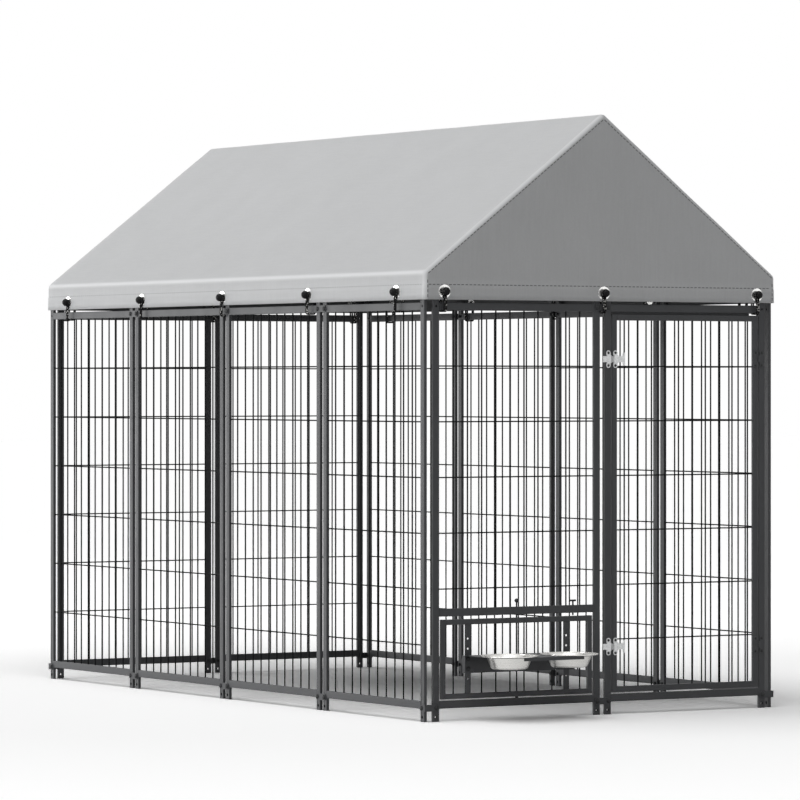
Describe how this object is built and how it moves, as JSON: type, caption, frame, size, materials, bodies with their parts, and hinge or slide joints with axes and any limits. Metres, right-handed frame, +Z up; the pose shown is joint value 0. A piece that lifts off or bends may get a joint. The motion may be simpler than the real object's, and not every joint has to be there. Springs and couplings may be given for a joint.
{
  "type": "outdoor dog kennel run",
  "caption": "Outdoor dog kennel run of bolted welded-bar panels with a hinged door, slide latches, swivelling feeder hatch with bowls, and a gabled fabric cover.",
  "frame": {"origin": "middle of the bounding box in plan, on the ground plane the feet stand on", "axes": "X across the run, Y along its length with the door and feeder end towards -Y, Z up"},
  "size_m": [1.2974, 2.6301, 1.79],
  "materials": {
    "coated_steel": "satin dark grey powder coat",
    "zinc_plate": "zinc plated, slightly dull",
    "black_steel": "blackened steel fasteners and rods",
    "bowl_steel": "spun stainless steel, satin",
    "pole_steel": "galvanised grey tube",
    "cover_fabric": "woven coated polyester, matt",
    "eyelet_plate": "bright plated eyelet",
    "cord_braid": "braided elastic cord, black with pale flecks",
    "black_plastic": "moulded black plastic"
  },
  "bodies": {
    "run": {"left_panel_1": "coated_steel", "left_panel_2": "coated_steel", "left_panel_3": "coated_steel", "left_panel_4": "coated_steel", "right_panel_1": "coated_steel", "right_panel_2": "coated_steel", "right_panel_3": "coated_steel", "right_panel_4": "coated_steel", "back_panel_1": "coated_steel", "back_panel_2": "coated_steel", "feeder_panel": "coated_steel", "door_frame": "coated_steel", "lower_hinge_frame_leaf": "coated_steel", "upper_hinge_frame_leaf": "coated_steel", "hinge_pins": "black_steel", "lower_latch_keeper": "zinc_plate", "upper_latch_keeper": "zinc_plate", "frame_screws": "black_steel", "pivot_rod": "black_steel", "pivot_washer": "black_plastic", "foot_link_plates": "coated_steel", "top_link_plates": "coated_steel", "corner_foot_brackets": "coated_steel", "joint_bolts": "black_steel", "joint_nuts": "black_steel", "left_eave_poles": "pole_steel", "right_eave_poles": "pole_steel", "ridge_poles": "pole_steel", "front_rafters": "pole_steel", "middle_rafters": "pole_steel", "back_rafters": "pole_steel", "ridge_hubs": "coated_steel", "corner_eave_brackets": "coated_steel", "middle_eave_brackets": "coated_steel", "roof_cover": "cover_fabric", "eyelets": "eyelet_plate", "cords": "cord_braid", "cord_balls": "black_plastic"},
    "door": {"door_leaf": "coated_steel", "lower_hinge_door_leaf": "coated_steel", "upper_hinge_door_leaf": "coated_steel", "lower_latch_guide": "zinc_plate", "upper_latch_guide": "zinc_plate", "door_screws": "black_steel"},
    "lower_bolt": {"lower_latch_bolt": "zinc_plate"},
    "upper_bolt": {"upper_latch_bolt": "zinc_plate"},
    "hatch": {"hatch_frame": "coated_steel", "left_height_bar": "coated_steel", "right_height_bar": "coated_steel", "bowl_shelf": "coated_steel", "shelf_bolts": "black_steel"},
    "hatch_lock": {"lock_pin": "black_steel"},
    "bowl_l": {"left_bowl": "bowl_steel"},
    "bowl_r": {"right_bowl": "bowl_steel"}
  },
  "joints": [
    {"name": "door_hinge", "type": "hinge", "parent": "run", "child": "door", "pos_m": [0.5685, -1.11431, 0.6265], "axis": [0, 0, 1], "range_deg": [0, 165]},
    {"name": "lower_bolt_slide", "type": "slide", "parent": "door", "child": "lower_bolt", "axis": [-1, 0, 0], "range_m": [0, 0.018]},
    {"name": "upper_bolt_slide", "type": "slide", "parent": "door", "child": "upper_bolt", "axis": [-1, 0, 0], "range_m": [0, 0.018]},
    {"name": "hatch_swivel", "type": "hinge", "parent": "run", "child": "hatch", "pos_m": [-0.3005, -1.10611, 0.18], "axis": [0, 0, 1], "continuous": true},
    {"name": "lock_pin_drop", "type": "slide", "parent": "run", "child": "hatch_lock", "axis": [0, 0, -1], "range_m": [0, 0.01]},
    {"name": "left_bowl_lift", "type": "slide", "parent": "hatch", "child": "bowl_l", "axis": [0, 0, 1], "range_m": [0, 0.06]},
    {"name": "right_bowl_lift", "type": "slide", "parent": "hatch", "child": "bowl_r", "axis": [0, 0, 1], "range_m": [0, 0.06]}
  ]
}
